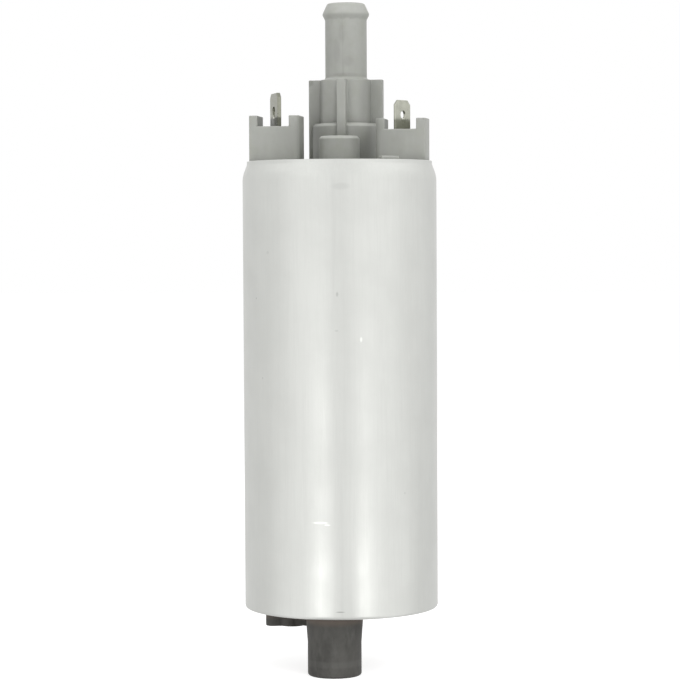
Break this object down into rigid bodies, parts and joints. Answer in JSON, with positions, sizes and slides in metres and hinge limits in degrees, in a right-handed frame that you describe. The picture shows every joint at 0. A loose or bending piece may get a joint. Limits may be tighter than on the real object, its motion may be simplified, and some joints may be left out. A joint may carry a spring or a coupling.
{
  "type": "electric fuel pump",
  "caption": "In-line electric fuel pump in a rolled metal can, with hose barb, blade terminals in plastic sockets, offset inlet stub, gerotor, motor and valves.",
  "frame": {"origin": "on the can's axis, halfway along the can", "axes": "+Z along the can's axis towards the outlet, +Y towards the outlet barb, -Y towards the inlet stub, -X towards the wide terminal"},
  "size_m": [0.038, 0.038, 0.1313],
  "materials": {
    "can_metal": "satin, drawn lengthways",
    "cap_plastic": "matt moulded",
    "cover_plastic": "matt moulded",
    "tinned_metal": "tin plated",
    "seal_rubber": "matt",
    "valve_rubber": "matt",
    "bright_steel": "ground",
    "yoke_steel": "rolled",
    "core_steel": "stamped sheets",
    "sintered_steel": "sintered",
    "die_cast": "die cast",
    "bush_bronze": "sintered",
    "copper": "turned",
    "copper_wire": "lacquered wire",
    "ferrite": "ground ferrite",
    "brush_carbon": "pressed graphite",
    "inner_plastic": "moulded",
    "hub_plastic": "moulded phenolic"
  },
  "bodies": {
    "housing": {"can": "can_metal", "inlet_cover": "cover_plastic", "lower_seal": "seal_rubber", "relief_plug": "bush_bronze", "relief_spring": "bright_steel", "rotor_pin": "bright_steel", "pump_ring": "sintered_steel", "outlet_plate": "die_cast", "lower_bearing": "bush_bronze", "yoke_tube": "yoke_steel", "left_magnet": "ferrite", "right_magnet": "ferrite", "front_magnet_clip": "bright_steel", "back_magnet_clip": "bright_steel", "upper_bearing": "bush_bronze", "outlet_cap": "cap_plastic", "upper_seal": "seal_rubber", "wide_terminal": "tinned_metal", "narrow_terminal": "tinned_metal", "check_valve_seat": "bush_bronze", "check_valve_spring": "bright_steel", "left_brush_spring": "bright_steel", "right_brush_spring": "bright_steel", "left_brush_lead": "copper", "right_brush_lead": "copper"},
    "armature": {"shaft": "bright_steel", "drive_coupling": "inner_plastic", "inner_rotor": "sintered_steel", "lower_thrust_washer": "inner_plastic", "lower_insulator": "inner_plastic", "armature_core": "core_steel", "upper_insulator": "inner_plastic", "armature_winding": "copper_wire", "commutator_hub": "hub_plastic", "commutator": "copper", "upper_thrust_washer": "inner_plastic"},
    "outer_rotor": {"outer_rotor": "sintered_steel"},
    "left_brush": {"left_brush": "brush_carbon"},
    "right_brush": {"right_brush": "brush_carbon"},
    "check_valve": {"check_valve": "valve_rubber"},
    "relief_ball": {"relief_ball": "bright_steel"}
  },
  "joints": [
    {"name": "armature_spin", "type": "hinge", "parent": "housing", "child": "armature", "pos_m": [0, 0, 0], "axis": [0, 0, 1], "continuous": true},
    {"name": "outer_rotor_spin", "type": "hinge", "parent": "housing", "child": "outer_rotor", "pos_m": [0.00105, 0, 0], "axis": [0, 0, 1], "continuous": true},
    {"name": "left_brush_slide", "type": "slide", "parent": "housing", "child": "left_brush", "axis": [0, 0, 1], "range_m": [0, 0.0015], "stiffness_N_per_m": 120, "springref_m": -0.008, "deforming": ["left_brush_spring", "left_brush_lead"]},
    {"name": "right_brush_slide", "type": "slide", "parent": "housing", "child": "right_brush", "axis": [0, 0, 1], "range_m": [0, 0.0015], "stiffness_N_per_m": 120, "springref_m": -0.008, "deforming": ["right_brush_spring", "right_brush_lead"]},
    {"name": "check_valve_lift", "type": "slide", "parent": "housing", "child": "check_valve", "axis": [0, 0, 1], "range_m": [0, 0.0025], "stiffness_N_per_m": 100, "springref_m": -0.003, "deforming": ["check_valve_spring"]},
    {"name": "relief_ball_lift", "type": "slide", "parent": "housing", "child": "relief_ball", "axis": [0, 0, -1], "range_m": [0, 0.0008], "stiffness_N_per_m": 600, "springref_m": -0.0025, "deforming": ["relief_spring"]}
  ],
  "couplings": [
    {"joint": "outer_rotor_spin", "follows": "armature_spin", "ratio": 0.85714}
  ]
}
